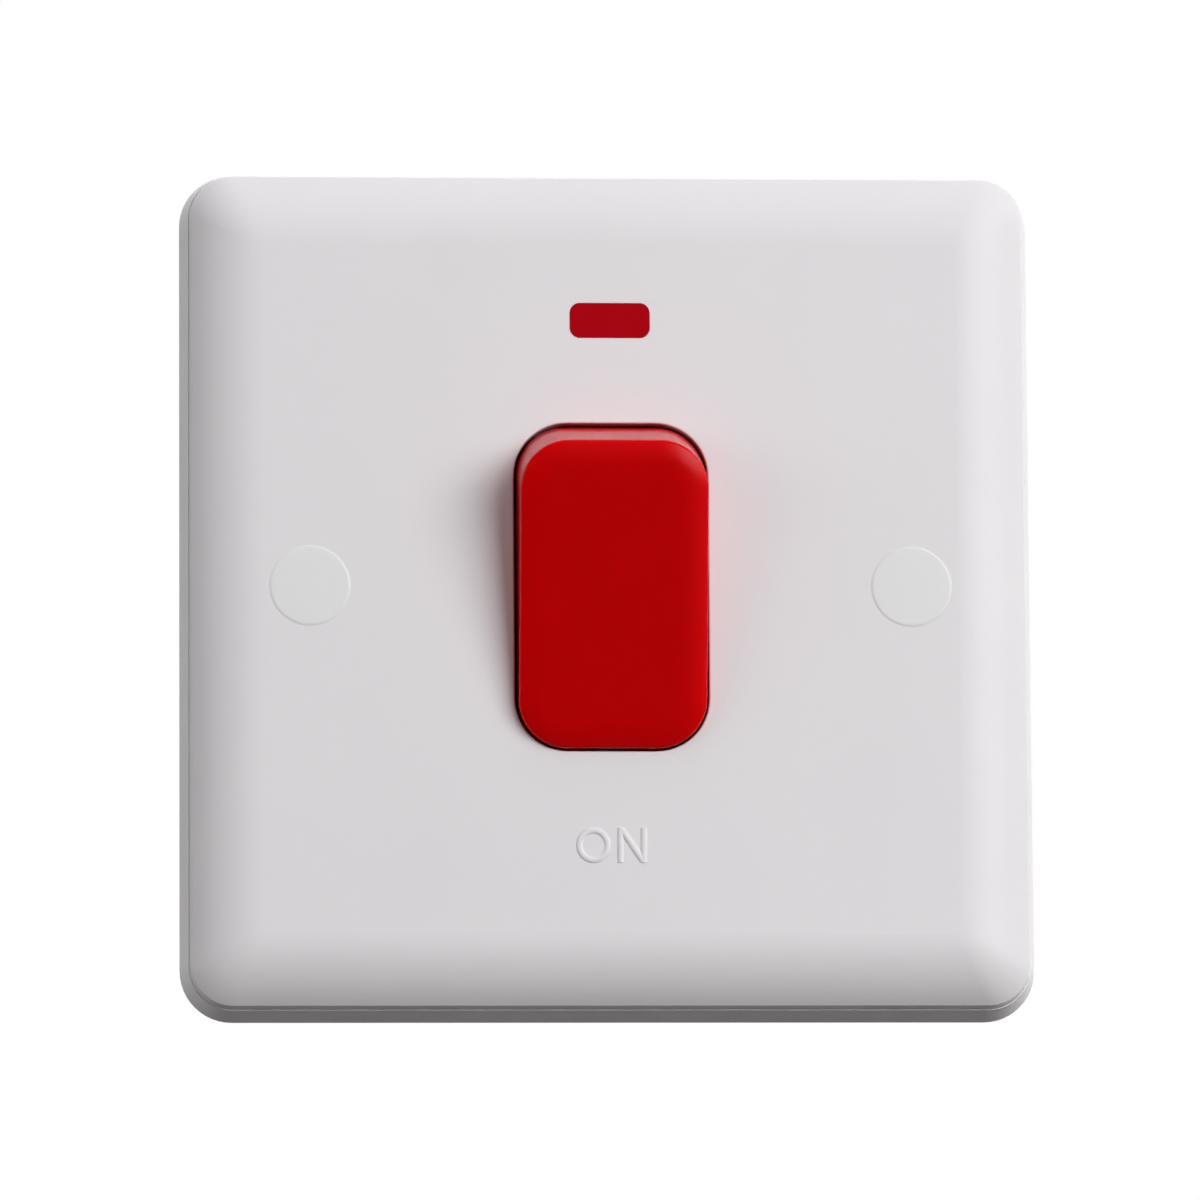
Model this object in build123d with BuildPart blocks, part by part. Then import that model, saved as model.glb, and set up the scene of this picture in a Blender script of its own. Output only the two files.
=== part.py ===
from build123d import *
from math import asin, cos, radians, sin, sqrt, tan
import os

# Double pole rocker switch on a square front plate for a single wall box, in millimetres.
# X runs right, Z up and Y into the wall. The origin is the centre of the plate's rear rim, on the wall.
# A level is a distance in front of the wall, so pieces inside the wall box have negative levels.
# The model stands at rest with the switch on: rocker pressed in at the bottom, contacts closed.

# Front plate
plate_size = 86.0
plate_level = 9.0
plate_wall = 2.5
plate_corner = 5.2
plate_draft = 10.0
rim_width = 3.0
foot_height = 4.6
foot_step = 0.08
shoulder_level = 6.1
shoulder_inset = 8.0
shoulder_steps = 5
flat_corner = 0.6
pocket_corner = 6.0
pocket_round = 5.5
pocket_land = 0.3

# Rocker and its opening
opening_width = 19.45
opening_height = 33.1
opening_corner = 5.3
opening_drop = 0.08
opening_edge = 0.2
rocker_side_gap = 0.28
rocker_end_gap = 0.4
rocker_corner = 4.9
rocker_rise = 7.0
rocker_skirt = 2.6
rocker_wall = 1.8
rocker_edge = 0.3
rocker_end_draft = 6.5
rocker_side_draft = 0.4
rocker_tilt = 12.0
crown_radius = 8.0
crown_reach = 2.5
crown_steps = 3
rim_play = 0.05
pivot_depth = 2.6
trunnion_radius = 1.4
trunnion_length = 3.4
trunnion_clearance = 0.05
bearing_wall = 1.4
bearing_depth = 2.2
bearing_mouth = 2.2
guard_wall = 1.4
guard_gap = 0.4

# Plungers and springs
pole_offset = 5.2
plunger_radius = 1.5
plunger_reach = 8.5
plunger_length = 7.9
plunger_clearance = 0.1
tube_wall = 1.0
tube_reach = 3.2
spring_length = 4.0
spring_wire = 0.18
spring_turns = 4
plunger_flat = 0.1

# Contact arms
arm_tilt = 6.5
arm_reach = 13.0
arm_width = 4.5
arm_thickness = 1.4
arm_rise = 1.7
arm_pin_radius = 1.0
arm_pin_clearance = 0.05
arm_play = 0.03
ear_gap = 0.3
ear_thickness = 1.0
ear_side = 1.6
ear_lip = 0.5
contact_reach = 11.0
contact_radius = 1.9
moving_contact_height = 1.2
fixed_contact_height = 1.0
stop_gap = 0.1
foot_length = 1.6

# Conductors
strip_thickness = 1.2
strip_width = 6.0
strip_margin = 0.2
neck_length = 2.5

# Terminals
terminal_offset = 11.0
terminal_width = 11.0
terminal_depth = 10.0
terminal_length = 13.0
terminal_bore = 3.0
terminal_edge = 0.6
terminal_screw_radius = 2.4
terminal_screw_length = 6.0
terminal_screw_pitch = 6.4
earth_width = 8.0
earth_depth = 8.4
earth_length = 11.0
earth_bore = 2.2
earth_screw_radius = 1.9
earth_screw_length = 6.0
earth_screw_pitch = 5.0
thread_clearance = 0.05
tip_clearance = 0.05
slot_width = 0.8
slot_depth = 1.0
screw_point = 0.4

# Switch base and cover
base_web = 1.05
base_floor = 2.0
base_corner = 2.0
base_end_margin = 1.0
base_barrier = 2.4
base_seat_gap = 0.1
terminal_start = 16.0
access_gap = 0.4
rear_skin = 0.2
chamber_width = 10.8
core_corner = 1.5
cover_thickness = 1.5
cover_window_gap = 0.9

# Housing screws and posts
housing_screw_radius = 1.2
housing_screw_length = 15.5
housing_head_radius = 2.3
housing_head_height = 1.6
housing_head_gap = 0.1
housing_head_sink = 12.0
housing_screw_offset = 24.5
post_radius = 3.0

# Fixing screws and caps
fixing_spacing = 60.3
fixing_screw_radius = 1.75
fixing_neck_radius = 1.4
fixing_screw_length = 25.0
fixing_head_radius = 3.2
fixing_head_height = 2.0
fixing_head_round = 0.6
fixing_seat_level = 3.8
fixing_hole_radius = 2.0
fixing_boss_wall = 1.6
fixing_boss_gap = 0.3
cap_radius = 4.05
cap_clearance = 0.03
cap_proud = 0.15
cap_thickness = 1.2
cap_edge = 0.2
cap_skirt_wall = 0.6
cap_skirt_length = 1.4

# Lamp
lens_width = 8.0
lens_height = 3.5
lens_corner = 1.0
lens_clearance = 0.04
lens_flange = 0.9
lens_flange_thickness = 0.7
lamp_offset = 26.9
lamp_radius = 2.0
lamp_length = 10.0
lamp_round = 1.6
resistor_radius = 1.1
resistor_length = 6.0
resistor_round = 0.5
resistor_gap = 2.4
cradle_gap = 0.1
lead_radius = 0.3
lead_bend = 1.2
lead_run = 3.5
lead_end = 1.6
lead_hole_gap = 0.3
lamp_rib = 1.2
lamp_rib_gap = 0.4

# Levels and places that follow from the sizes above
inner_level = plate_level - plate_wall
pivot_level = plate_level - pivot_depth
rocker_width = opening_width - 2 * rocker_side_gap
rocker_length = opening_height - 2 * rocker_end_gap
tube_radius = plunger_radius + plunger_clearance + tube_wall
arm_level = pivot_level - plunger_reach - arm_play - arm_rise
contact_drop = arm_thickness - arm_rise + moving_contact_height + fixed_contact_height
strip_level = arm_level - contact_drop * cos(radians(arm_tilt)) - contact_reach * sin(radians(arm_tilt))
terminal_level = strip_level - strip_thickness
bore_level = terminal_level - terminal_depth / 2
terminal_place = terminal_start + terminal_length / 2
base_height = 2 * (terminal_start + terminal_length + base_end_margin)
screw_end = bore_level - terminal_bore - tip_clearance - terminal_screw_length
base_rear = screw_end - rear_skin
head_bore = housing_head_radius + housing_head_gap
column_offset = terminal_offset + terminal_width / 2 + base_seat_gap + base_web + head_bore
base_width = 2 * (column_offset + head_bore + base_web)
earth_place = terminal_start + terminal_length - earth_length / 2
earth_bore_level = terminal_level - earth_depth / 2
cap_well_radius = cap_radius + cap_clearance
window_width = lens_width + 2 * lens_clearance
window_height = lens_height + 2 * lens_clearance
lamp_level = cover_thickness + lamp_radius + cradle_gap
head_seat = base_rear + housing_head_sink
lamp_end = lamp_length / 2
resistor_start = lamp_end + resistor_gap
resistor_end = resistor_start + resistor_length
neutral_drop = lamp_end + lead_run
line_drop = resistor_end + lead_end
spring_end = plunger_length - plunger_reach + spring_length
arm_foot = (arm_level - strip_level - stop_gap - arm_reach * sin(radians(arm_tilt))) / cos(radians(arm_tilt))


def front(level):
    """Plane parallel to the wall at a level, seen from the front: x right, y up."""
    return Plane.XZ.offset(level)


def rocker_plane(height):
    """Plane parallel to the rocker's face, at a height in front of its pivot."""
    tilt = radians(rocker_tilt)
    pivot = Plane(origin=(0, -pivot_level, 0), x_dir=(1, 0, 0), z_dir=(0, -cos(tilt), -sin(tilt)))
    return pivot.offset(height)


def arm_plane(offset, height):
    """Plane parallel to a closed contact arm, at a height in front of the arm's pivot."""
    tilt = radians(arm_tilt)
    pivot = Plane(origin=(offset, -arm_level, 0), x_dir=(1, 0, 0), z_dir=(0, -cos(tilt), sin(tilt)))
    return pivot.offset(height)


def arm_side(offset):
    """Side view of a closed contact arm: x along the arm, y out from the wall."""
    tilt = radians(arm_tilt)
    return Plane(origin=(offset, -arm_level, 0), x_dir=(0, sin(tilt), cos(tilt)), z_dir=(1, 0, 0))


def across(offset, level, place):
    """Plane that faces along X, with its origin at a point of the switch."""
    return Plane(origin=(offset, -level, place), x_dir=(0, 0, 1), z_dir=(1, 0, 0))


def plate_outline(level):
    """Half width and corner radius of the plate's drafted wall at a level."""
    inset = foot_step + level * tan(radians(plate_draft))
    return plate_size / 2 - inset, plate_corner - inset


def save(part, name):
    part.label = name
    export_step(part, f"parts/{name}.step")
    print(f"{name}: {len(part.solids())} solid(s), {part.volume:.1f} mm3")


os.makedirs("parts", exist_ok=True)

# Hollow behind the plate, rounded where it follows the shoulder
with BuildPart() as pocket_form:
    pocket_size = plate_size - 2 * rim_width
    with BuildSketch(front(0)):
        RectangleRounded(pocket_size, pocket_size, pocket_corner)
    extrude(amount=inner_level)
    pocket_limit = min(pocket_round, inner_level - pocket_land, pocket_corner - pocket_land)
    fillet(pocket_form.faces().sort_by(Axis.Y)[0].edges(), pocket_limit)

# Front plate
with BuildPart() as front_plate:
    with BuildSketch(front(0)):
        RectangleRounded(plate_size, plate_size, plate_corner)
    extrude(amount=foot_height, taper=plate_draft)
    for level in (0, shoulder_level):
        half_width, corner = plate_outline(level)
        with BuildSketch(front(level)):
            RectangleRounded(2 * half_width, 2 * half_width, corner)
    loft(ruled=True)
    # Shoulder rolled from the top of the wall to the flat face, along an arc that ends level with the face
    flat_half = plate_size / 2 - shoulder_inset
    wall_half, wall_corner = plate_outline(shoulder_level)
    shoulder_run = wall_half - flat_half
    shoulder_rise = plate_level - shoulder_level
    shoulder_radius = (shoulder_run**2 + shoulder_rise**2) / (2 * shoulder_rise)
    for step in range(shoulder_steps + 1):
        angle = asin(shoulder_run / shoulder_radius) * (1 - step / shoulder_steps)
        reach = shoulder_radius * sin(angle)
        corner = flat_corner + (wall_corner - flat_corner) * reach / shoulder_run
        with BuildSketch(front(plate_level - shoulder_radius * (1 - cos(angle)))):
            RectangleRounded(2 * (flat_half + reach), 2 * (flat_half + reach), corner)
    loft()
    add(pocket_form.part, mode=Mode.SUBTRACT)
    # Guard wall and bearing cheeks round the rocker, down to the cover
    guard_width = rocker_width + 2 * (trunnion_length + guard_gap)
    guard_height = opening_height + 2 * guard_gap
    with BuildSketch(front(inner_level)):
        RectangleRounded(guard_width + 2 * guard_wall, guard_height + 2 * guard_wall, guard_wall)
        Rectangle(guard_width, guard_height, mode=Mode.SUBTRACT)
    extrude(amount=cover_thickness - inner_level)
    cheek_width = (guard_width - opening_width) / 2
    with BuildSketch(front(inner_level)):
        with GridLocations(opening_width + cheek_width, 0, 2, 1):
            Rectangle(cheek_width, 2 * (trunnion_radius + bearing_wall))
    extrude(amount=pivot_level - bearing_depth - inner_level)
    # Screw wells, with a boss behind each
    with BuildSketch(front(inner_level)):
        with GridLocations(fixing_spacing, 0, 2, 1):
            Circle(cap_well_radius + fixing_boss_wall)
    extrude(amount=fixing_boss_gap - inner_level)
    with BuildSketch(front(plate_level)):
        with GridLocations(fixing_spacing, 0, 2, 1):
            Circle(cap_well_radius)
    extrude(amount=fixing_seat_level - plate_level, mode=Mode.SUBTRACT)
    with BuildSketch(front(fixing_seat_level)):
        with GridLocations(fixing_spacing, 0, 2, 1):
            Circle(fixing_hole_radius)
    extrude(amount=-fixing_seat_level, mode=Mode.SUBTRACT)
    # Posts for the housing screws
    with BuildSketch(front(inner_level)):
        with GridLocations(2 * column_offset, 2 * housing_screw_offset, 2, 2):
            Circle(post_radius)
    extrude(amount=cover_thickness - inner_level)
    with BuildSketch(front(cover_thickness)):
        with GridLocations(2 * column_offset, 2 * housing_screw_offset, 2, 2):
            Circle(housing_screw_radius + thread_clearance)
    extrude(amount=inner_level - cover_thickness, mode=Mode.SUBTRACT)
    # Ribs above and below the lamp
    with BuildSketch(front(inner_level)):
        with Locations((0, lamp_offset)):
            with GridLocations(0, 2 * (lamp_radius + lamp_rib_gap) + lens_flange + lamp_rib, 1, 2):
                Rectangle(lamp_length, lamp_rib)
    extrude(amount=cover_thickness - inner_level)
    # Opening for the rocker and window for the lens
    with BuildSketch(front(inner_level)):
        with Locations((0, -opening_drop)):
            RectangleRounded(opening_width, opening_height, opening_corner)
    extrude(amount=plate_wall, mode=Mode.SUBTRACT)
    with BuildSketch(front(inner_level)):
        with Locations((0, lamp_offset)):
            RectangleRounded(window_width, window_height, lens_corner + lens_clearance)
    extrude(amount=plate_wall, mode=Mode.SUBTRACT)
    opening_rim = front_plate.faces().sort_by(Axis.Y)[0].inner_wires().sort_by(SortBy.LENGTH)[-1]
    fillet(opening_rim.edges(), opening_edge)
    # Snap bearings for the trunnions, open to the rear
    with BuildSketch(across(0, pivot_level, 0)):
        Circle(trunnion_radius + trunnion_clearance)
        with Locations((0, -bearing_depth / 2)):
            Rectangle(bearing_mouth, bearing_depth)
    extrude(amount=guard_width / 2, both=True, mode=Mode.SUBTRACT)
save(front_plate.part, "front_plate")


def rocker_outline(height, wall):
    """Width, length and corner radius of the rocker at a height, drawn in by a wall."""
    drafted = max(height, 0)
    width = rocker_width - 2 * drafted * tan(radians(rocker_side_draft)) - 2 * wall
    length = rocker_length - 2 * drafted * tan(radians(rocker_end_draft)) - 2 * wall
    return width, length, rocker_corner - wall


def crown_height(reach):
    """Height of the crowned face where it has fallen away over a reach from its flat middle."""
    return rocker_rise - crown_radius + sqrt(crown_radius**2 - reach**2)


# Rocker: a hollow cap with a crowned face, drafted walls, side trunnions and a tube for each plunger
rocker_out = Axis(rocker_plane(0).origin, rocker_plane(0).z_dir)
with BuildPart() as rocker:
    rim_height = crown_height(crown_reach)
    for height in (-rocker_skirt, 0, rim_height):
        with BuildSketch(rocker_plane(height)):
            RectangleRounded(*rocker_outline(height, 0))
    loft(ruled=True)
    for step in range(crown_steps + 1):
        inset = crown_reach * step / crown_steps
        with BuildSketch(rocker_plane(crown_height(crown_reach - inset))):
            RectangleRounded(*rocker_outline(rim_height, inset))
    loft()
    rim_edges = rocker.edges().filter_by_position(rocker_out, rim_height - rim_play, rim_height + rim_play)
    fillet(rim_edges, rocker_edge)
    for height in (-rocker_skirt, 0, rocker_rise - rocker_wall):
        with BuildSketch(rocker_plane(height)):
            RectangleRounded(*rocker_outline(height, rocker_wall))
    loft(ruled=True, mode=Mode.SUBTRACT)
    with BuildSketch(rocker_plane(rocker_rise - rocker_wall)):
        with GridLocations(2 * pole_offset, 0, 2, 1):
            Circle(tube_radius)
    extrude(amount=-(rocker_rise - rocker_wall + tube_reach))
    with BuildSketch(rocker_plane(-tube_reach)):
        with GridLocations(2 * pole_offset, 0, 2, 1):
            Circle(plunger_radius + plunger_clearance)
    extrude(amount=tube_reach + spring_end, mode=Mode.SUBTRACT)
    for side in (-1, 1):
        with BuildSketch(across(side * (rocker_width / 2 - rocker_wall), pivot_level, 0)):
            Circle(trunnion_radius)
        extrude(amount=side * (rocker_wall + trunnion_length))
save(rocker.part, "rocker")

for pole, side in (("neutral", -1), ("line", 1)):
    pole_x = side * pole_offset
    # Plunger with a round nose that presses the contact arm
    with BuildPart() as plunger:
        with BuildSketch(rocker_plane(-plunger_reach)):
            with Locations((pole_x, 0)):
                Circle(plunger_radius)
        extrude(amount=plunger_length)
        fillet(plunger.faces().sort_by(rocker_out)[0].edges(), plunger_radius - plunger_flat)
    save(plunger.part, f"{pole}_plunger")
    # Coil spring between the plunger and the end of its tube
    spring_seat = rocker_plane(plunger_length - plunger_reach + spring_wire)
    spring_base = spring_seat.from_local_coords((pole_x, 0, 0))
    coil_radius = plunger_radius - spring_wire
    coil_height = spring_length - 2 * spring_wire
    with BuildPart() as spring:
        with BuildLine():
            coil = Helix(coil_height / spring_turns, coil_height, coil_radius, spring_base, spring_seat.z_dir)
        with BuildSketch(Plane(origin=coil @ 0, z_dir=coil % 0)):
            Circle(spring_wire)
        sweep()
    save(spring.part, f"{pole}_spring")
    # See-saw contact arm with its cross pin and stop foot
    with BuildPart() as contact_arm:
        with BuildSketch(arm_side(pole_x)):
            with Locations((0, arm_rise - arm_thickness / 2)):
                Rectangle(2 * arm_reach, arm_thickness)
            with Locations((foot_length / 2 - arm_reach, (arm_rise - arm_foot) / 2)):
                Rectangle(foot_length, arm_rise + arm_foot)
        extrude(amount=arm_width / 2, both=True)
        with BuildSketch(arm_side(pole_x)):
            Circle(arm_pin_radius)
        extrude(amount=arm_width / 2 + ear_gap + ear_thickness, both=True)
    save(contact_arm.part, f"{pole}_contact_arm")
    # Contact buttons, face to face in the closed position
    with BuildPart() as moving_contact:
        with BuildSketch(arm_plane(pole_x, arm_rise - arm_thickness)):
            with Locations((0, contact_reach)):
                Circle(contact_radius)
        extrude(amount=-moving_contact_height)
    save(moving_contact.part, f"{pole}_moving_contact")
    with BuildPart() as fixed_contact:
        with BuildSketch(arm_plane(pole_x, arm_rise - arm_thickness - moving_contact_height)):
            with Locations((0, contact_reach)):
                Circle(contact_radius)
        extrude(amount=-2 * fixed_contact_height)
        split(bisect_by=front(strip_level), keep=Keep.TOP)
    save(fixed_contact.part, f"{pole}_fixed_contact")
    # Strip from the fixed contact to the load terminal, stepped sideways by a neck
    terminal_x = side * terminal_offset
    tab_start = terminal_start + strip_margin
    tab_end = terminal_start + terminal_length - strip_margin
    tab_width = terminal_width - 2 * strip_margin
    lane_end = terminal_start - base_seat_gap - strip_margin
    neck_inner = terminal_offset - tab_width / 2
    neck_outer = base_barrier / 2 + chamber_width - strip_margin
    neck_x = side * (neck_inner + neck_outer) / 2
    with BuildPart() as fixed_strip:
        lane_start = contact_reach - contact_radius - strip_margin
        with BuildSketch(front(strip_level)):
            with Locations((pole_x, (lane_start + lane_end) / 2)):
                Rectangle(strip_width, lane_end - lane_start)
            with Locations((neck_x, lane_end)):
                Rectangle(neck_outer - neck_inner, 2 * neck_length)
            with Locations((terminal_x, (tab_start + tab_end) / 2)):
                Rectangle(tab_width, tab_end - tab_start)
        extrude(amount=-strip_thickness)
    save(fixed_strip.part, f"{pole}_fixed_strip")
    # Bracket that carries the arm's cross pin and leads to the supply terminal
    ear_offset = arm_width / 2 + ear_gap + ear_thickness / 2
    with BuildPart() as pivot_bracket:
        bracket_end = arm_pin_radius + ear_side
        with BuildSketch(front(strip_level)):
            with Locations((pole_x, (bracket_end - lane_end) / 2)):
                Rectangle(2 * ear_offset + ear_thickness, bracket_end + lane_end)
            with Locations((neck_x, -lane_end)):
                Rectangle(neck_outer - neck_inner, 2 * neck_length)
            with Locations((terminal_x, -(tab_start + tab_end) / 2)):
                Rectangle(tab_width, tab_end - tab_start)
        extrude(amount=-strip_thickness)
        with BuildSketch(front(strip_level)):
            with Locations((pole_x, 0)):
                with GridLocations(2 * ear_offset, 0, 2, 1):
                    Rectangle(ear_thickness, 2 * bracket_end)
        extrude(amount=arm_level + ear_lip - strip_level)
        with BuildSketch(across(pole_x, arm_level, 0)):
            Circle(arm_pin_radius + arm_pin_clearance)
            with Locations((0, bracket_end / 2)):
                Rectangle(2 * (arm_pin_radius + arm_pin_clearance), bracket_end)
        extrude(amount=ear_offset + ear_thickness, both=True, mode=Mode.SUBTRACT)
    save(pivot_bracket.part, f"{pole}_pivot_bracket")


def terminal_block(x, place, width, depth, length, bore, screw_radius, screw_pitch):
    """Brass block with a cable bore along Z and two screw holes from the rear."""
    with BuildPart() as block:
        with BuildSketch(front(terminal_level)):
            with Locations((x, place)):
                Rectangle(width, length)
        extrude(amount=-depth)
        fillet(block.edges().filter_by(Axis.Z), terminal_edge)
        with BuildSketch(Plane.XY.offset(place - length / 2)):
            with Locations((x, depth / 2 - terminal_level)):
                Circle(bore)
        extrude(amount=length, mode=Mode.SUBTRACT)
        with BuildSketch(front(terminal_level - depth)):
            with Locations((x, place)):
                with GridLocations(0, screw_pitch, 1, 2):
                    Circle(screw_radius + thread_clearance)
        extrude(amount=depth / 2, mode=Mode.SUBTRACT)
    return block.part


def clamp_screws(x, place, tip_level, radius, length, pitch):
    """Two slotted screws that reach back from a level."""
    with BuildPart() as screws:
        with BuildSketch(front(tip_level)):
            with Locations((x, place)):
                with GridLocations(0, pitch, 1, 2):
                    Circle(radius)
        extrude(amount=-length)
        chamfer(screws.faces().group_by(Axis.Y)[0].edges(), screw_point)
        with BuildSketch(front(tip_level - length)):
            with Locations((x, place)):
                with GridLocations(0, pitch, 1, 2):
                    Rectangle(2 * radius, slot_width)
        extrude(amount=slot_depth, mode=Mode.SUBTRACT)
    return screws.part


# Supply terminals at the bottom and load terminals at the top, and the earth terminal between the supply ones
for pole, side in (("neutral", -1), ("line", 1)):
    for end, direction in (("supply", -1), ("load", 1)):
        block_x = side * terminal_offset
        block_place = direction * terminal_place
        terminal = terminal_block(
            block_x, block_place, terminal_width, terminal_depth, terminal_length,
            terminal_bore, terminal_screw_radius, terminal_screw_pitch,
        )
        save(terminal, f"{pole}_{end}_terminal")
        screws = clamp_screws(
            block_x, block_place, bore_level - terminal_bore - tip_clearance,
            terminal_screw_radius, terminal_screw_length, terminal_screw_pitch,
        )
        save(screws, f"{pole}_{end}_screws")
earth = terminal_block(
    0, -earth_place, earth_width, earth_depth, earth_length, earth_bore, earth_screw_radius, earth_screw_pitch
)
save(earth, "earth_terminal")
earth_screws = clamp_screws(
    0, -earth_place, earth_bore_level - earth_bore - tip_clearance,
    earth_screw_radius, earth_screw_length, earth_screw_pitch,
)
save(earth_screws, "earth_screws")

# Switch base: rear housing with terminal pockets, open at the cable end, and a contact chamber for each pole
with BuildPart() as switch_base:
    with BuildSketch(front(0)):
        RectangleRounded(base_width, base_height, base_corner)
    extrude(amount=base_rear)
    pocket_start = terminal_start - base_seat_gap
    pocket_length = terminal_length + 2 * base_seat_gap
    entry_length = base_height / 2 - pocket_start
    with BuildSketch(front(0)):
        with GridLocations(2 * terminal_offset, 2 * terminal_place, 2, 2):
            Rectangle(terminal_width + 2 * base_seat_gap, pocket_length)
    extrude(amount=terminal_level, mode=Mode.SUBTRACT)
    with BuildSketch(front(terminal_level)):
        with GridLocations(2 * terminal_offset, base_height - entry_length, 2, 2):
            Rectangle(terminal_width + 2 * base_seat_gap, entry_length)
    extrude(amount=-terminal_depth - base_seat_gap, mode=Mode.SUBTRACT)
    with BuildSketch(front(0)):
        with GridLocations(base_barrier + chamber_width, 0, 2, 1):
            Rectangle(chamber_width, 2 * pocket_start)
    extrude(amount=terminal_level - base_seat_gap, mode=Mode.SUBTRACT)
    earth_pocket = earth_length + 2 * base_seat_gap
    earth_entry = earth_length + base_seat_gap + base_end_margin
    with BuildSketch(front(0)):
        with Locations((0, -earth_place)):
            Rectangle(earth_width + 2 * base_seat_gap, earth_pocket)
    extrude(amount=terminal_level, mode=Mode.SUBTRACT)
    with BuildSketch(front(terminal_level)):
        with Locations((0, (earth_entry - base_height) / 2)):
            Rectangle(earth_width + 2 * base_seat_gap, earth_entry)
    extrude(amount=-earth_depth - base_seat_gap, mode=Mode.SUBTRACT)
    # Cores from the rear keep the floor under the contacts at an even thickness
    core_depth = terminal_level - base_seat_gap - base_floor - base_rear
    core_width = base_width / 2 - base_floor - base_barrier / 2
    core_height = 2 * (pocket_start - base_floor)
    with BuildSketch(front(base_rear)):
        with GridLocations(base_barrier + core_width, 0, 2, 1):
            RectangleRounded(core_width, core_height, core_corner)
    extrude(amount=core_depth, mode=Mode.SUBTRACT)
    # Screwdriver holes for the clamp screws
    with BuildSketch(front(base_rear)):
        with GridLocations(2 * terminal_offset, 2 * terminal_place, 2, 2):
            with GridLocations(0, terminal_screw_pitch, 1, 2):
                Circle(terminal_screw_radius + access_gap)
        with Locations((0, -earth_place)):
            with GridLocations(0, earth_screw_pitch, 1, 2):
                Circle(earth_screw_radius + access_gap)
    extrude(amount=terminal_level - earth_depth - base_seat_gap - base_rear, mode=Mode.SUBTRACT)
    # Screw columns in the corners
    with BuildSketch(front(base_rear)):
        with GridLocations(2 * column_offset, 2 * housing_screw_offset, 2, 2):
            Circle(head_bore)
    extrude(amount=housing_head_sink, mode=Mode.SUBTRACT)
    with BuildSketch(front(head_seat)):
        with GridLocations(2 * column_offset, 2 * housing_screw_offset, 2, 2):
            Circle(housing_screw_radius + housing_head_gap)
    extrude(amount=-head_seat, mode=Mode.SUBTRACT)
save(switch_base.part, "switch_base")

# Mechanism cover: frame that closes the terminal pockets and lets the rocker through
with BuildPart() as mechanism_cover:
    with BuildSketch(front(0)):
        RectangleRounded(base_width, base_height, base_corner)
        RectangleRounded(rocker_width + 2 * cover_window_gap, guard_height, guard_wall, mode=Mode.SUBTRACT)
        with GridLocations(2 * column_offset, 2 * housing_screw_offset, 2, 2):
            Circle(housing_screw_radius + housing_head_gap, mode=Mode.SUBTRACT)
        with Locations((-neutral_drop, lamp_offset), (line_drop, lamp_offset)):
            Circle(lead_radius + lead_hole_gap, mode=Mode.SUBTRACT)
    extrude(amount=cover_thickness)
    # Cradle that holds the resistor level with the lamp
    with BuildSketch(front(cover_thickness)):
        with Locations((resistor_start + resistor_length / 2, lamp_offset)):
            Rectangle(resistor_length, 2 * resistor_radius)
    extrude(amount=lamp_radius - resistor_radius)
save(mechanism_cover.part, "mechanism_cover")

# Housing screws, driven from the rear through base and cover into the plate's posts
with BuildPart() as housing_screws:
    with BuildSketch(front(head_seat)):
        with GridLocations(2 * column_offset, 2 * housing_screw_offset, 2, 2):
            Circle(housing_head_radius)
    extrude(amount=-housing_head_height)
    with BuildSketch(front(head_seat - housing_head_height)):
        with GridLocations(2 * column_offset, 2 * housing_screw_offset, 2, 2):
            Rectangle(2 * housing_head_radius, slot_width)
    extrude(amount=slot_depth, mode=Mode.SUBTRACT)
    with BuildSketch(front(head_seat)):
        with GridLocations(2 * column_offset, 2 * housing_screw_offset, 2, 2):
            Circle(housing_screw_radius)
    extrude(amount=housing_screw_length)
save(housing_screws.part, "housing_screws")

for hand, side in (("left", -1), ("right", 1)):
    fixing_x = side * fixing_spacing / 2
    # Fixing screw: slotted head in its well, plain neck through the plate, thread behind the wall
    with BuildPart() as fixing_screw:
        with BuildSketch(front(fixing_seat_level)):
            with Locations((fixing_x, 0)):
                Circle(fixing_head_radius)
        extrude(amount=fixing_head_height)
        fillet(fixing_screw.faces().sort_by(Axis.Y)[0].edges(), fixing_head_round)
        with BuildSketch(front(fixing_seat_level + fixing_head_height)):
            with Locations((fixing_x, 0)):
                Rectangle(2 * fixing_head_radius, slot_width)
        extrude(amount=-slot_depth, mode=Mode.SUBTRACT)
        with BuildSketch(front(fixing_seat_level)):
            with Locations((fixing_x, 0)):
                Circle(fixing_neck_radius)
        extrude(amount=-fixing_seat_level)
        with BuildSketch(front(0)):
            with Locations((fixing_x, 0)):
                Circle(fixing_screw_radius)
        extrude(amount=fixing_seat_level - fixing_screw_length)
        chamfer(fixing_screw.faces().sort_by(Axis.Y)[-1].edges(), screw_point)
    save(fixing_screw.part, f"fixing_screw_{hand}")
    # Cap: disc hardly proud of the plate, with a thin skirt that grips the well
    with BuildPart() as screw_cap:
        with BuildSketch(front(plate_level + cap_proud)):
            with Locations((fixing_x, 0)):
                Circle(cap_radius)
        extrude(amount=-cap_thickness)
        fillet(screw_cap.faces().sort_by(Axis.Y)[0].edges(), cap_edge)
        with BuildSketch(front(plate_level + cap_proud - cap_thickness)):
            with Locations((fixing_x, 0)):
                Circle(cap_radius)
                Circle(cap_radius - cap_skirt_wall, mode=Mode.SUBTRACT)
        extrude(amount=-cap_skirt_length)
    save(screw_cap.part, f"screw_cap_{hand}")

# Lens: flush window with a flange behind the plate
with BuildPart() as neon_lens:
    with BuildSketch(front(inner_level)):
        with Locations((0, lamp_offset)):
            RectangleRounded(lens_width, lens_height, lens_corner)
    extrude(amount=plate_wall)
    with BuildSketch(front(inner_level)):
        with Locations((0, lamp_offset)):
            RectangleRounded(lens_width + 2 * lens_flange, lens_height + 2 * lens_flange, lens_corner)
    extrude(amount=-lens_flange_thickness)
save(neon_lens.part, "neon_lens")

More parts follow.
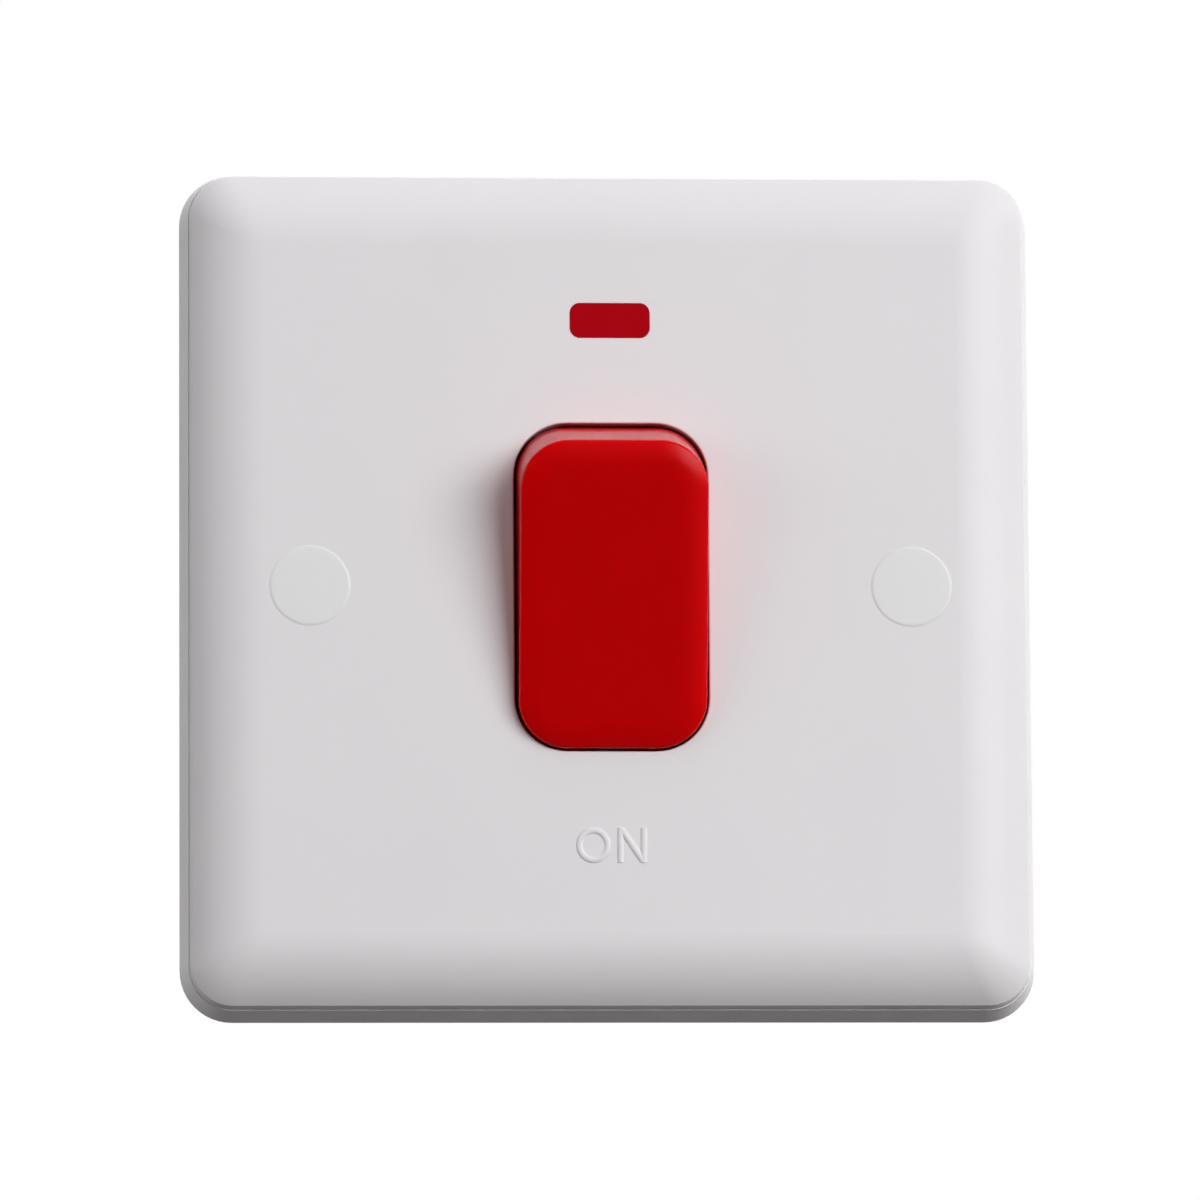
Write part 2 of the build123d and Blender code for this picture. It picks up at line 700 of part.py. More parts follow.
# Lamp: glass tube with rounded ends
with BuildPart() as neon_lamp:
    with BuildSketch(across(-lamp_end, lamp_level, lamp_offset)):
        Circle(lamp_radius)
    extrude(amount=lamp_length)
    fillet(neon_lamp.edges().filter_by(GeomType.CIRCLE), lamp_round)
save(neon_lamp.part, "neon_lamp")

# Resistor beside the lamp
with BuildPart() as resistor:
    with BuildSketch(across(resistor_start, lamp_level, lamp_offset)):
        Circle(resistor_radius)
    extrude(amount=resistor_length)
    fillet(resistor.edges().filter_by(GeomType.CIRCLE), resistor_round)
save(resistor.part, "resistor")

# Leads: lamp to the neutral strip, resistor to the line strip, and the link between them
lead_paths = {
    "neutral_lead": [(-lamp_end, lamp_level), (-neutral_drop, lamp_level), (-neutral_drop, strip_level)],
    "line_lead": [(resistor_end, lamp_level), (line_drop, lamp_level), (line_drop, strip_level)],
    "link_lead": [(lamp_end, lamp_level), (resistor_start, lamp_level)],
}
for name, corners in lead_paths.items():
    points = [(x, -level, lamp_offset) for x, level in corners]
    with BuildPart() as lead:
        with BuildLine() as path:
            if len(points) > 2:
                FilletPolyline(*points, radius=lead_bend)
            else:
                Polyline(*points)
        with BuildSketch(Plane(origin=path.wire() @ 0, z_dir=path.wire() % 0)):
            Circle(lead_radius)
        sweep()
    save(lead.part, name)
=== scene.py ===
# %% [markdown]
# # A double pole switch, dressed in Blender
# The packed model brings every solid of the switch in its true place, in metres: X right, Z up, Y into the wall.
# The solids could be rebuilt here, but then two models would have to be kept alike. So the packed ones stay, and
# this script adds what solids leave out: finishes, raised letters, soft edges, threads, light and a camera.

# %% Load the packed switch
from math import cos, pi, radians, sin
import bpy
import bmesh
from mathutils import Matrix, Vector


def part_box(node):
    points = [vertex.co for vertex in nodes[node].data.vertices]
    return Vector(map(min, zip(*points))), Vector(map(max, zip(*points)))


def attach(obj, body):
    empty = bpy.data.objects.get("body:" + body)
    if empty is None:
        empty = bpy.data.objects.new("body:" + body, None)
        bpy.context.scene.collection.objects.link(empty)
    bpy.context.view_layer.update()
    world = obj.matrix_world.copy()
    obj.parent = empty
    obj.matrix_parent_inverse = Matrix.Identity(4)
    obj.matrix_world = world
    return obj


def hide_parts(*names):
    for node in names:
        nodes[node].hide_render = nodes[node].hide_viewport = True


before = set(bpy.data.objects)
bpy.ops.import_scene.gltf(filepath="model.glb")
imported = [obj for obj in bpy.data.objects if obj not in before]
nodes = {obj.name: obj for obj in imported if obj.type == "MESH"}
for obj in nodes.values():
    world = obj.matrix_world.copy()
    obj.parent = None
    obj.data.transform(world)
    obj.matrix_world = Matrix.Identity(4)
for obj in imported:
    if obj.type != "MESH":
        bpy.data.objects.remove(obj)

MM = 0.001
MICRON = 0.001 * MM
scene = bpy.context.scene
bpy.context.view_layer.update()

# %% [markdown]
# ## Camera
# The picture was taken with a long lens, from a little below and to the left of the switch, so the top end of the
# rocker and the lower edge of the plate both show. A camera could be aimed with a Track To constraint, but then the
# slight roll would need a second one. Three angles written into one matrix say the same thing plainly.

# %% Place the camera
CAMERA_PLACE = Vector((-63.97, -962.3, -132.12)) * MM
CAMERA_PITCH = radians(7.79)
CAMERA_YAW = radians(3.77)
CAMERA_ROLL = radians(-0.38)

lens_data = bpy.data.cameras.new("studio_camera")
lens_data.sensor_width = 36.0
lens_data.lens = 289.3
lens_data.clip_start = 0.01
camera = bpy.data.objects.new("studio_camera", lens_data)
turn = Matrix.Rotation(-CAMERA_YAW, 4, "Z") @ Matrix.Rotation(pi / 2 + CAMERA_PITCH, 4, "X")
camera.matrix_world = Matrix.Translation(CAMERA_PLACE) @ turn @ Matrix.Rotation(CAMERA_ROLL, 4, "Z")
scene.collection.objects.link(camera)
scene.camera = camera
print("camera looks along", [round(v, 3) for v in -camera.matrix_world.to_3x3().col[2]])

# %% [markdown]
# ## Shader arithmetic
# A finish is a small node tree, and so is the world. Nodes could be placed and linked one call at a time, which hides
# the sum that they work out. Here a socket is wrapped in a class whose operators add Math nodes, so a mask reads like
# arithmetic, and one method adds any other node from its type, its settings and its inputs.

# %% Wrap a socket
class Wire:
    """An output socket. Sums and products of wires and numbers add Math nodes to the graph they belong to."""

    def __init__(self, graph, socket):
        self.graph = graph
        self.socket = socket

    def math(self, operation, first, second):
        return self.graph.add("ShaderNodeMath", {"operation": operation}, {0: first, 1: second})

    def __add__(self, other):
        return self.math("ADD", self, other)

    def __radd__(self, other):
        return self.math("ADD", other, self)

    def __sub__(self, other):
        return self.math("SUBTRACT", self, other)

    def __rsub__(self, other):
        return self.math("SUBTRACT", other, self)

    def __mul__(self, other):
        return self.math("MULTIPLY", self, other)

    def __rmul__(self, other):
        return self.math("MULTIPLY", other, self)

    def __gt__(self, other):
        return self.math("GREATER_THAN", self, other)

    def __lt__(self, other):
        return self.math("LESS_THAN", self, other)


print("wire:", Wire.__doc__)


# %% Wrap a node tree
class Graph:
    """A node tree, with the one method that adds a node to it."""

    def __init__(self, owner):
        owner.use_nodes = True
        self.tree = owner.node_tree

    def add(self, kind, settings=None, inputs=None, output=0):
        node = self.tree.nodes.new(kind)
        for name, value in (settings or {}).items():
            setattr(node, name, value)
        for name, value in (inputs or {}).items():
            self.feed(node.inputs[name], value)
        return Wire(self, node.outputs[output])

    def feed(self, socket, value):
        if isinstance(value, Wire):
            self.tree.links.new(value.socket, socket)
        else:
            socket.default_value = value

    def across(self, vector, start, end):
        """Rises from none to one while the vector's Y goes from start to end."""
        depth = self.add("ShaderNodeSeparateXYZ", None, {"Vector": vector}, output="Y")
        return self.add("ShaderNodeMapRange", None, {"Value": depth, "From Min": start, "From Max": end})

    def looked_at(self, behind):
        """One for rays from the camera or through glass, and for those from a mirror to what lies behind."""
        rays = ("Is Camera Ray", "Is Glossy Ray", "Is Transmission Ray")
        seen, mirrored, through = [self.add("ShaderNodeLightPath", output=ray) for ray in rays]
        return seen + through + mirrored * behind

    def show(self, share, plain, seen):
        mixed = self.add("ShaderNodeMixShader", None, {0: share, 1: plain, 2: seen})
        self.feed(self.tree.get_output_node("ALL").inputs["Surface"], mixed)


print("graph:", Graph.__doc__)


# %% Wrap a material
class Finish(Graph):
    """A material built round one Principled shader. Even values are set on the shader's own sockets."""

    def __init__(self, name, **even):
        self.material = bpy.data.materials.new(name)
        super().__init__(self.material)
        self.shader = self.tree.nodes["Principled BSDF"]
        for socket, value in even.items():
            self.shader.inputs[socket.replace("_", " ")].default_value = value

    def place(self):
        return self.add("ShaderNodeTexCoord", output="Object")

    def noise(self, scale, detail=2.0, stretch=None):
        place = self.place()
        if stretch:
            place = self.add("ShaderNodeMapping", None, {"Vector": place, "Scale": stretch})
        return self.add("ShaderNodeTexNoise", None, {"Vector": place, "Scale": scale, "Detail": detail})

    def tint(self, amount, low, high):
        """A colour between low and high, either of which may be a colour already mixed."""
        low, high = [value if isinstance(value, Wire) else (*value, 1.0) for value in (low, high)]
        return self.add("ShaderNodeMix", {"data_type": "RGBA"}, {0: amount, 6: low, 7: high}, output=2)

    def colour(self, value):
        self.feed(self.shader.inputs["Base Color"], value)

    def roughness(self, value):
        self.feed(self.shader.inputs["Roughness"], value)

    def bump(self, height, depth):
        lift = self.add("ShaderNodeBump", None, {"Height": height, "Strength": 1.0, "Distance": depth})
        self.feed(self.shader.inputs["Normal"], lift)


def dress(finish, *names):
    for name in names:
        slots = nodes[name].data.materials
        slots.clear()
        slots.append(finish.material)
    print(finish.material.name, "on", len(names), "node(s)")


print("finish:", Finish.__doc__)

# %% [markdown]
# ## White mouldings
# The plate and the screw caps are pressed from a white thermoset: hard, slightly warm, with a soft gloss. A flat
# white would look like paper. Faint clouds in the colour, a little unevenness in the gloss and a very fine ripple in
# the skin give what the mould leaves. The caps come from another mould and are a touch more neutral.

# %% Plate and caps
def pressed_white(name, low, high, cloud_scale, gloss_scale):
    finish = Finish(name, Specular_IOR_Level=0.25)
    finish.colour(finish.tint(finish.noise(cloud_scale, 3.0), low, high))
    finish.roughness(0.36 + 0.12 * finish.noise(gloss_scale, 3.0))
    finish.bump(finish.noise(2600.0), 4 * MICRON)
    return finish


plate_white = pressed_white("plate_white", (0.835, 0.812, 0.838), (0.862, 0.842, 0.862), 70.0, 260.0)
cap_white = pressed_white("cap_white", (0.835, 0.835, 0.835), (0.862, 0.862, 0.862), 160.0, 300.0)
dress(plate_white, "front_plate")

# %% [markdown]
# ## Red rocker and red lens
# The rocker is a red moulding, coloured through and slightly translucent: light that goes in at one side comes out
# again a few millimetres on, so its edges glow. A plain red would stop dead there, and glass-like transmission would
# show the hollow behind. Subsurface scattering gives the glow, with red travelling furthest. Its walls leave the
# mould polished and its face a little more satin, so the roughness follows the direction of the surface. The lens is
# clear red resin over a dark well. It looks deeper and even, so a darker red under a smooth skin is enough.

# %% Rocker
GLOW_REACH = 4 * MM
GLOW_BY_COLOUR = (1.0, 0.15, 0.10)
FACE_DIRECTION, WALL_DIRECTION = -0.80, -0.55

rocker_red = Finish("rocker_red", Specular_IOR_Level=0.12, Subsurface_Weight=1.0, Subsurface_Scale=GLOW_REACH,
                    Subsurface_Radius=GLOW_BY_COLOUR)
rocker_red.colour(rocker_red.tint(rocker_red.noise(120.0, 3.0), (0.60, 0.0, 0.001), (0.64, 0.0, 0.002)))
direction = rocker_red.add("ShaderNodeTexCoord", output="Normal")
polish = rocker_red.across(direction, FACE_DIRECTION, WALL_DIRECTION)
rocker_red.roughness(0.18 - 0.07 * polish + 0.06 * rocker_red.noise(300.0, 3.0))
rocker_red.bump(rocker_red.noise(1800.0), 3 * MICRON)
dress(rocker_red, "rocker")

# %% Lens
lens_red = Finish("lens_red", Specular_IOR_Level=0.2)
lens_red.colour(lens_red.tint(lens_red.noise(350.0), (0.43, 0.0, 0.004), (0.46, 0.0, 0.006)))
lens_red.roughness(0.10 + 0.06 * lens_red.noise(500.0))
lens_red.bump(lens_red.noise(1200.0, 1.0), 3 * MICRON)
dress(lens_red, "neon_lens")

# %% [markdown]
# ## Base, cover and plungers
# Behind the plate the housing is a matt thermoset, off-white and a little chalky, with faint flow marks. It has no
# gloss worth speaking of, so roughness is high and the ripple coarser than on the plate. The plungers slide, so they
# are of nylon: milky, slightly yellow and smoother. One flat cream could serve both, but the two would look alike.

# %% Housing mouldings and plungers
housing_white = Finish("housing_white", Specular_IOR_Level=0.3)
flow = housing_white.noise(90.0, 4.0, (1.0, 1.0, 0.35))
housing_white.colour(housing_white.tint(flow, (0.66, 0.655, 0.63), (0.74, 0.735, 0.71)))
housing_white.roughness(0.52 + 0.16 * housing_white.noise(220.0, 3.0))
housing_white.bump(housing_white.noise(1700.0, 3.0), 10 * MICRON)
dress(housing_white, "switch_base", "mechanism_cover")

plunger_nylon = Finish("plunger_nylon", Specular_IOR_Level=0.4)
milk = plunger_nylon.noise(400.0)
plunger_nylon.colour(plunger_nylon.tint(milk, (0.76, 0.73, 0.64), (0.84, 0.81, 0.73)))
plunger_nylon.roughness(0.38 + 0.14 * plunger_nylon.noise(800.0))
dress(plunger_nylon, "neutral_plunger", "line_plunger")

# %% [markdown]
# ## Metals
# Terminals are sawn from drawn brass bar, so fine lines run along their length. Strips and brackets are pressed from
# brass sheet, the arms from copper. Screws are zinc plated, with a slightly patchy sheen. Each metal could have a
# tree of its own, but they share one recipe: a noise for the drawing or polishing lines, stretched where the metal
# was drawn, which tints the colour, varies the roughness and lifts the skin.

# %% Metal finishes
DRAWN_BAR = (1.0, 1.0, 0.03)
ROLLED_SHEET = (1.0, 1.0, 0.2)
POLISHED = None


def metal(name, low, high, lines, stretch, smooth, spread, depth):
    finish = Finish(name, Metallic=1.0)
    drawn = finish.noise(lines, 3.0, stretch)
    finish.colour(finish.tint(drawn, low, high))
    finish.roughness(smooth + spread * drawn)
    finish.bump(drawn, depth * MICRON)
    return finish


bar_brass = metal("bar_brass", (0.66, 0.45, 0.17), (0.80, 0.60, 0.28), 2500.0, DRAWN_BAR, 0.22, 0.22, 6)
sheet_brass = metal("sheet_brass", (0.64, 0.44, 0.18), (0.76, 0.56, 0.27), 700.0, ROLLED_SHEET, 0.26, 0.16, 4)
arm_copper = metal("arm_copper", (0.70, 0.33, 0.20), (0.82, 0.44, 0.29), 800.0, ROLLED_SHEET, 0.26, 0.18, 4)
contact_silver = metal("contact_silver", (0.78, 0.77, 0.74), (0.88, 0.87, 0.85), 1200.0, POLISHED, 0.25, 0.2, 3)
zinc_steel = metal("zinc_steel", (0.56, 0.57, 0.60), (0.72, 0.72, 0.71), 900.0, POLISHED, 0.24, 0.2, 4)
spring_steel = metal("spring_steel", (0.42, 0.42, 0.43), (0.56, 0.56, 0.57), 1500.0, POLISHED, 0.2, 0.15, 2)
tinned_wire = metal("tinned_wire", (0.66, 0.66, 0.66), (0.78, 0.78, 0.77), 1500.0, POLISHED, 0.28, 0.2, 2)

# %% Metal pieces
POLES = ("neutral", "line")
CLAMPS = [f"{pole}_{end}" for pole in POLES for end in ("supply", "load")]

dress(bar_brass, "earth_terminal", "earth_screws", *[f"{clamp}_terminal" for clamp in CLAMPS])
dress(zinc_steel, "housing_screws", *[f"{clamp}_screws" for clamp in CLAMPS])
dress(sheet_brass, *[f"{pole}_{piece}" for pole in POLES for piece in ("fixed_strip", "pivot_bracket")])
dress(contact_silver, *[f"{pole}_{piece}" for pole in POLES for piece in ("moving_contact", "fixed_contact")])
dress(arm_copper, *[f"{pole}_contact_arm" for pole in POLES])
dress(spring_steel, *[f"{pole}_spring" for pole in POLES])
dress(tinned_wire, "neutral_lead", "line_lead", "link_lead")

# %% [markdown]
# ## Lamp and resistor
# The neon lamp is a little glass tube, the resistor a lacquered body with coloured bands. The bands could be separate
# rings, but they are paint: a place along X, compared with the edges of each band, picks the colour.

# %% Lamp glass and resistor lacquer
BAND_WIDTH = 0.6 * MM
BAND_STEP = 1.2 * MM
BAND_COLOURS = ((0.30, 0.09, 0.02), (0.62, 0.27, 0.02), (0.75, 0.55, 0.05))

lamp_glass = Finish("lamp_glass", Transmission_Weight=0.9, IOR=1.5)
smear = lamp_glass.noise(400.0)
lamp_glass.colour(lamp_glass.tint(smear, (0.90, 0.84, 0.80), (0.97, 0.93, 0.90)))
lamp_glass.roughness(0.04 + 0.08 * smear)
dress(lamp_glass, "neon_lamp")

lacquer = Finish("lacquer")
along = lacquer.add("ShaderNodeSeparateXYZ", None, {"Vector": lacquer.place()}, output="X")
speckle = lacquer.noise(900.0, 3.0)
paint = lacquer.tint(speckle, (0.56, 0.40, 0.24), (0.68, 0.50, 0.32))
band_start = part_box("resistor")[0].x
for band in BAND_COLOURS:
    band_start += BAND_STEP
    inside = (along > band_start) * (along < band_start + BAND_WIDTH)
    paint = lacquer.tint(inside, paint, band)
lacquer.colour(paint)
lacquer.roughness(0.28 + 0.16 * speckle)
dress(lacquer, "resistor")

# %% [markdown]
# ## Raised letters
# The word ON is moulded into the plate under the rocker as a low bead, about two thirds of a millimetre wide, with no
# sharp edge. A text object would bring its font's own widths, and a filled outline would have steep sides. Here each
# letter is a path with a round section, flattened and sunk until only the top of the bead stands out of the plate.

# %% Draw a bead
BEAD_RADIUS = 0.355 * MM
ROUNDING = 0.5523


def bead(name):
    curve = bpy.data.curves.new(name, "CURVE")
    curve.dimensions = "3D"
    curve.resolution_u = 16
    curve.bevel_depth = BEAD_RADIUS
    curve.bevel_resolution = 6
    curve.use_fill_caps = True
    return curve


def add_oval(curve, half_width, half_height):
    quarters = ((half_width, 0), (0, half_height), (-half_width, 0), (0, -half_height))
    spline = curve.splines.new("BEZIER")
    spline.bezier_points.add(len(quarters) - 1)
    spline.use_cyclic_u = True
    for point, (x, y) in zip(spline.bezier_points, quarters):
        reach = Vector((-y / half_height * half_width, x / half_width * half_height, 0)) * ROUNDING
        point.co = (x, y, 0)
        point.handle_left = point.co - reach
        point.handle_right = point.co + reach


def add_stroke(curve, x, y, end_x, end_y):
    spline = curve.splines.new("POLY")
    spline.points.add(1)
    spline.points[0].co = (x, y, 0, 1)
    spline.points[1].co = (end_x, end_y, 0, 1)


print("bead:", BEAD_RADIUS / MM, "mm in radius")

# %% Raise the word
WORD_PLACE = -26.08 * MM
BEAD_FLATNESS = 0.67
BEAD_SINK = 0.08 * MM
ROUND_PLACE, ROUND_HALF_WIDTH, ROUND_HALF_HEIGHT = -1.96 * MM, 1.41 * MM, 1.48 * MM
ZIGZAG_PLACE, ZIGZAG_HALF_WIDTH, ZIGZAG_HALF_HEIGHT = 1.91 * MM, 1.165 * MM, 1.75 * MM
SLANT_TRIM = 0.92
plate_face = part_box("front_plate")[0].y


def raise_letter(curve, x):
    drawn = bpy.data.objects.new(curve.name, curve)
    upright = Matrix.Rotation(pi / 2, 4, "X") @ Matrix.Diagonal((1.0, 1.0, BEAD_FLATNESS, 1.0))
    drawn.matrix_world = Matrix.Translation((x, plate_face + BEAD_SINK, WORD_PLACE)) @ upright
    scene.collection.objects.link(drawn)
    drawn.data.materials.append(plate_white.material)
    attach(drawn, "housing")
    print(curve.name, "has", len(curve.splines), "stroke(s)")


letter_o = bead("letter_o")
add_oval(letter_o, ROUND_HALF_WIDTH, ROUND_HALF_HEIGHT)
raise_letter(letter_o, ROUND_PLACE)

letter_n = bead("letter_n")
for side in (-ZIGZAG_HALF_WIDTH, ZIGZAG_HALF_WIDTH):
    add_stroke(letter_n, side, -ZIGZAG_HALF_HEIGHT, side, ZIGZAG_HALF_HEIGHT)
slant_x, slant_y = ZIGZAG_HALF_WIDTH * SLANT_TRIM, ZIGZAG_HALF_HEIGHT * SLANT_TRIM
add_stroke(letter_n, -slant_x, slant_y, slant_x, -slant_y)
raise_letter(letter_n, ZIGZAG_PLACE)

# %% [markdown]
# ## Screw caps
# The caps are press-in discs whose edge rolls over softly to the level of the plate, so that only a faint line shows
# where they end. The packed disc has a small even rounding, which catches a hard dark line, and a Bevel modifier
# can't widen a rounding that is already there. So each cap is turned as on a lathe: one outline of rings, each joined
# to the next, with the disc and its skirt behind.

# %% A small lathe
def turn_outline(mesh, centre, outline, count):
    """Turns an outline of (radius, y) round the Y axis through a centre, and closes both ends."""
    turns = [2 * pi * k / count for k in range(count)]
    rings = []
    for radius, y in outline:
        spots = [(centre.x + radius * cos(a), y, centre.z + radius * sin(a)) for a in turns]
        rings.append([mesh.verts.new(spot) for spot in spots])
    mesh.faces.new(rings[0])
    for first, second in zip(rings, rings[1:]):
        for k in range(count):
            mesh.faces.new((first[k - 1], first[k], second[k], second[k - 1]))
    mesh.faces.new(list(reversed(rings[-1])))


def link_mesh(name, mesh):
    bmesh.ops.recalc_face_normals(mesh, faces=mesh.faces)
    data = bpy.data.meshes.new(name)
    mesh.to_mesh(data)
    mesh.free()
    piece = bpy.data.objects.new(name, data)
    scene.collection.objects.link(piece)
    return piece


def stand_for(piece, node, finish):
    piece.data.materials.clear()
    piece.data.materials.append(finish.material)
    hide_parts(node)
    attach(piece, "housing")
    print(piece.name, "has", len(piece.data.polygons), "faces")


print("lathe:", turn_outline.__doc__)

# %% Turn the caps
HANDS = ("left", "right")
CAP_SINK = 0.07 * MM
CAP_GROWTH = 0.02 * MM
CAP_THICKNESS = 1.2 * MM
CAP_SIDES = 96
SKIRT_WALL = 0.6 * MM
ROLL_WIDTH = 0.35 * MM
ROLL_ANGLE = radians(25.8)
ROLL_STEPS = 8
SHARP_EDGE = radians(30)


def turned_cap(name, node):
    low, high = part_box(node)
    outer = (high.x - low.x) / 2 + CAP_GROWTH
    inner = outer - SKIRT_WALL
    front = low.y + CAP_SINK
    bend = ROLL_WIDTH / sin(ROLL_ANGLE)
    outline = []
    for step in range(ROLL_STEPS + 1):
        angle = ROLL_ANGLE * step / ROLL_STEPS
        outline.append((outer - ROLL_WIDTH + bend * sin(angle), front + bend * (1 - cos(angle))))
    outline += [(outer, high.y), (inner, high.y), (inner, low.y + CAP_THICKNESS)]
    mesh = bmesh.new()
    turn_outline(mesh, (low + high) / 2, outline, CAP_SIDES)
    cap = link_mesh(name, mesh)
    cap.data.shade_smooth()
    cap.data.set_sharp_from_angle(angle=SHARP_EDGE)
    return cap


for hand in HANDS:
    cap = turned_cap(f"press_cap_{hand}", f"screw_cap_{hand}")
    stand_for(cap, f"screw_cap_{hand}", cap_white)

# %% [markdown]
# ## Fixing screws
# Behind the plate each fixing screw shows its machine thread, which the solid leaves as a plain cylinder. A Screw
# modifier could sweep the profile, but its ends stay open. Here the thread is one strip of three points a step that
# climbs with the angle, and both ends are pressed flat by holding the height between two limits. The head is turned
# on the same lathe as the caps, and a Boolean cuts the driver slot.

# %% Turn a head and wind a thread
CREST_RADIUS = 1.75 * MM
NECK_RADIUS = 1.4 * MM
DOME_RADIUS = 3.2 * MM
DOME_TO_SEAT = ((2.5, 0.0), (2.72, 0.04), (2.96, 0.18), (3.14, 0.42), (3.2, 0.75), (3.2, 2.0))
HEAD_SIDES = 48
THREAD_PITCH = 0.6 * MM
THREAD_STEPS = 28
THREAD_DEPTH = 0.34 * MM
THREAD_PROFILE = ((0.0, 1.0), (0.4, 0.0), (0.6, 0.0))
POINT_RADIUS = CREST_RADIUS - 0.4 * MM


def add_head(mesh, centre, low, head_radius):
    growth = head_radius / DOME_RADIUS
    outline = [(radius * MM * growth, low.y + drop * MM) for radius, drop in DOME_TO_SEAT]
    seat = outline[-1][1]
    turn_outline(mesh, centre, outline + [(NECK_RADIUS, seat), (NECK_RADIUS, 0.0)], HEAD_SIDES)


def thread_row(mesh, centre, step, length):
    angle = 2 * pi * step / THREAD_STEPS
    row = []
    for share, lift in THREAD_PROFILE:
        y = (step / THREAD_STEPS + share - 1.0) * THREAD_PITCH
        y = min(max(y, 0.0), length)
        radius = CREST_RADIUS - THREAD_DEPTH * (1.0 - lift)
        radius = min(radius, POINT_RADIUS + (length - y), POINT_RADIUS + y)
        row.append(mesh.verts.new((centre.x + radius * cos(angle), y, centre.z + radius * sin(angle))))
    return row


def add_thread(mesh, centre, length):
    steps = (int(length / THREAD_PITCH) + 2) * THREAD_STEPS
    strip = [thread_row(mesh, centre, step, length) for step in range(steps + 1)]
    for step in range(steps):
        here, there = strip[step], strip[step + 1]
        for k in range(len(THREAD_PROFILE) - 1):
            mesh.faces.new((here[k], here[k + 1], there[k + 1], there[k]))
        if step + THREAD_STEPS < steps:
            above, beyond = strip[step + THREAD_STEPS], strip[step + 1 + THREAD_STEPS]
            mesh.faces.new((here[-1], above[0], beyond[0], there[-1]))
    mesh.faces.new([row[0] for row in strip[:THREAD_STEPS]])
    mesh.faces.new([row[-1] for row in reversed(strip[-THREAD_STEPS:])])


def threaded_screw(name, node):
    low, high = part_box(node)
    centre = (low + high) / 2
    mesh = bmesh.new()
    add_head(mesh, centre, low, (high.x - low.x) / 2)
    add_thread(mesh, centre, high.y)
    return link_mesh(name, mesh)


print("thread:", THREAD_STEPS, "steps a turn")

# %% Cut the driver slots
SLOT_LENGTH, SLOT_HEIGHT, SLOT_WIDTH = 8.0 * MM, 2.0 * MM, 0.8 * MM


def cut_slot(screw):
    spots = [vertex.co for vertex in screw.data.vertices]
    front = min(spot.y for spot in spots)
    middle = sum(spot.x for spot in spots) / len(spots)
    size = Matrix.Diagonal((SLOT_LENGTH, SLOT_HEIGHT, SLOT_WIDTH, 1.0))
    mesh = bmesh.new()
    bmesh.ops.create_cube(mesh, size=1.0, matrix=Matrix.Translation((middle, front, 0)) @ size)
    cutter = link_mesh("slot_cutter", mesh)
    cut = screw.modifiers.new("slot", "BOOLEAN")
    cut.operation = "DIFFERENCE"
    cut.object = cutter
    slotted = bpy.data.meshes.new_from_object(screw.evaluated_get(bpy.context.evaluated_depsgraph_get()))
    screw.modifiers.clear()
    screw.data = slotted
    bpy.data.objects.remove(cutter)


for hand in HANDS:
    screw = threaded_screw(f"box_screw_{hand}", f"fixing_screw_{hand}")
    cut_slot(screw)
    stand_for(screw, f"fixing_screw_{hand}", zinc_steel)

# %% [markdown]
# ## Floor and background
# The switch is photographed before plain white. A wall behind it would hide the back in other views, so the
# background is the world: white to the camera and through glass, and white to mirrors where they look past the
# switch. In front of it the room is dim, as a studio is, or the red face would look milky. The floor could be white
# too, but then it would light the lower edge of the plate, which is dark in the picture. So the floor is dark to the
# light, and a white glow that is mixed in for the camera makes it pale and keeps the shadow.

# %% Floor
WHITE = (1.0, 1.0, 1.0, 1.0)
FLOOR_REACH = 3.0
FLOOR_LEVEL = -0.30
FLOOR_CORNERS = [(x * FLOOR_REACH, y * FLOOR_REACH, 0) for x, y in ((-1, -1), (1, -1), (1, 1), (-1, 1))]
FAR_SIDE = (-0.4, 0.4)
GLOW_SHARE = 0.75

floor_data = bpy.data.meshes.new("studio_floor")
floor_data.from_pydata(FLOOR_CORNERS, [], [(0, 1, 2, 3)])
floor = bpy.data.objects.new("studio_floor", floor_data)
floor.location = (0, 0, FLOOR_LEVEL)
scene.collection.objects.link(floor)

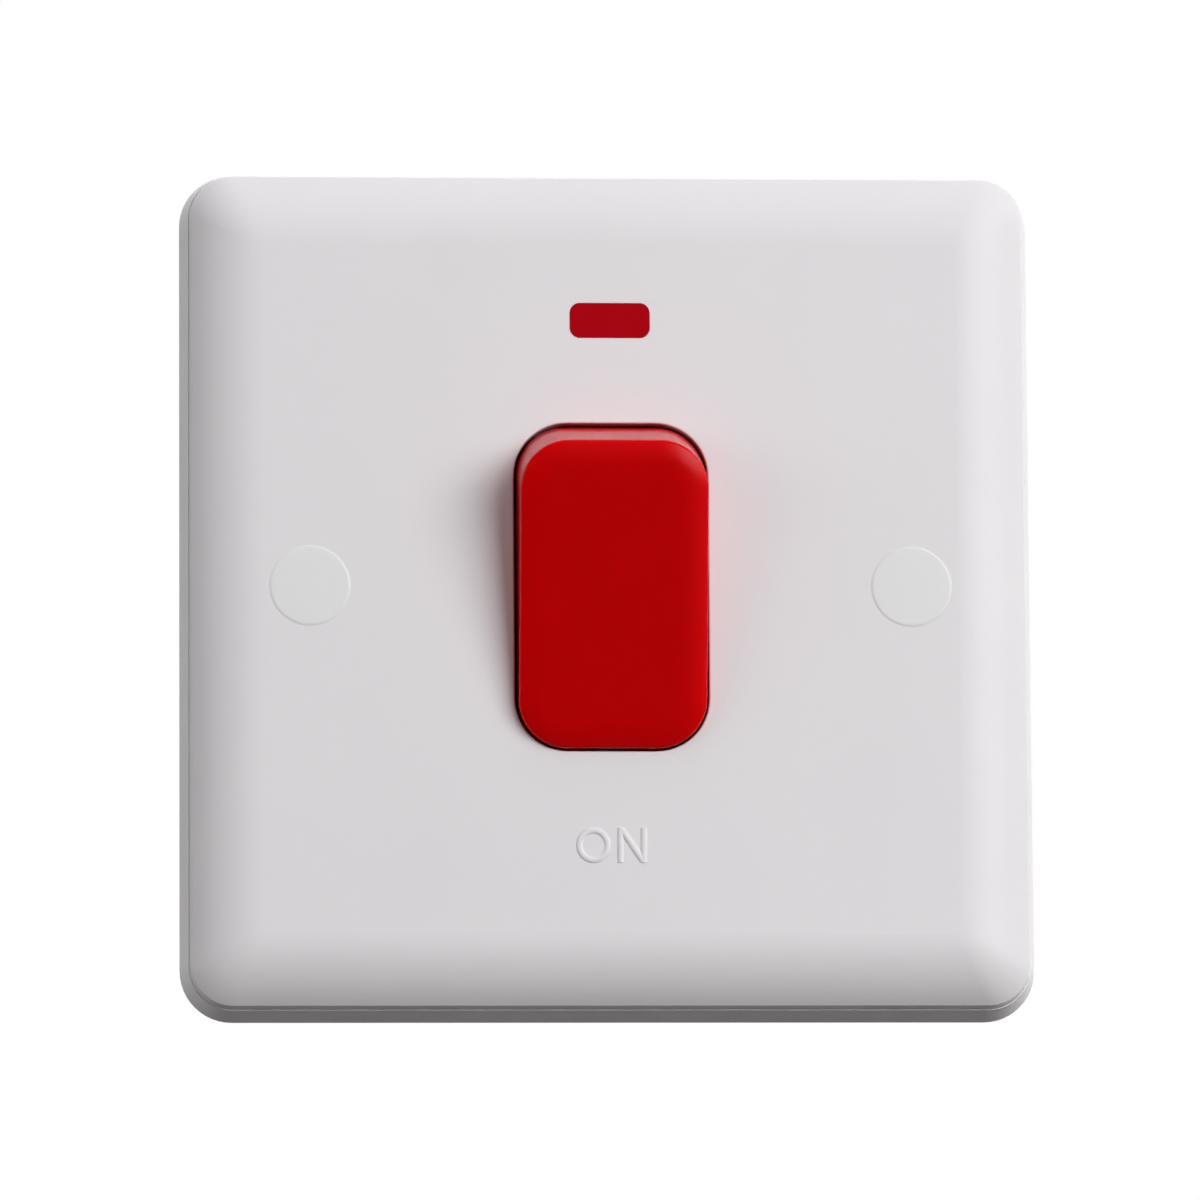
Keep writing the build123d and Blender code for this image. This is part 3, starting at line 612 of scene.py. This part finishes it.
pale_floor = Finish("pale_floor", Roughness=0.9, Specular_IOR_Level=0.0)
pale_floor.colour(pale_floor.tint(pale_floor.noise(3.0), (0.060, 0.053, 0.050), (0.074, 0.066, 0.062)))
glow = pale_floor.add("ShaderNodeEmission", None, {"Color": WHITE, "Strength": 1.0})
matt = Wire(pale_floor, pale_floor.shader.outputs["BSDF"])
far_side = pale_floor.across(pale_floor.place(), *FAR_SIDE)
pale_floor.show(pale_floor.looked_at(far_side) * GLOW_SHARE, matt, glow)
floor.data.materials.append(pale_floor.material)
print("floor:", 2 * FLOOR_REACH, "m wide")

# %% World
ROOM_LIGHT = 0.12
REAR_HALF = (-0.15, 0.25)

world = bpy.data.worlds.new("white_tent")
scene.world = world
tent = Graph(world)
even_light = tent.add("ShaderNodeBackground", None, {"Color": WHITE, "Strength": ROOM_LIGHT})
background = tent.add("ShaderNodeBackground", None, {"Color": WHITE, "Strength": 1.0})
rear = tent.across(tent.add("ShaderNodeTexCoord", output="Generated"), *REAR_HALF)
tent.show(tent.looked_at(rear), even_light, background)
print("world:", world.name)

# %% [markdown]
# ## Light
# The shading says where the light came from: the right and upper shoulders of the plate are lighter than its face,
# the left and lower ones darker, and the rocker throws a soft shadow to its left. One lamp could do that, but its
# shadow would be hard and the left side black. Five large panels share the work: a wide main one in front on the
# right, a weak one on the left, one above, and two behind that draw out the upper and the right edge. Each was
# rendered alone, and the powers were then chosen so that their sum gives the tones of the plate.

# %% Panels
PANELS = {
    "main_panel": ((0.90, -1.15, 0.31), (1.2, 0.76), 19.5),
    "left_panel": ((-1.39, -0.55, 0.18), (1.2, 0.8), 4.9),
    "top_panel": ((0.07, -0.38, 1.45), (1.2, 1.2), 5.1),
    "rear_panel": ((0.00, 0.96, 1.15), (1.2, 1.2), 7.0),
    "side_panel": ((1.19, 0.83, 0.39), (1.2, 0.8), 5.5),
}
for name, (place, size, power) in PANELS.items():
    light = bpy.data.lights.new(name, "AREA")
    light.shape = "RECTANGLE"
    light.size, light.size_y = size
    light.energy = power
    lamp = bpy.data.objects.new(name, light)
    lamp.location = place
    lamp.rotation_euler = (-Vector(place)).to_track_quat("-Z", "Y").to_euler()
    lamp.visible_camera = False
    scene.collection.objects.link(lamp)
    print(name, power, "W")
scene.view_settings.view_transform = "Standard"

# %% [markdown]
# ## Sizes
# The dressed switch may not outgrow its solids.
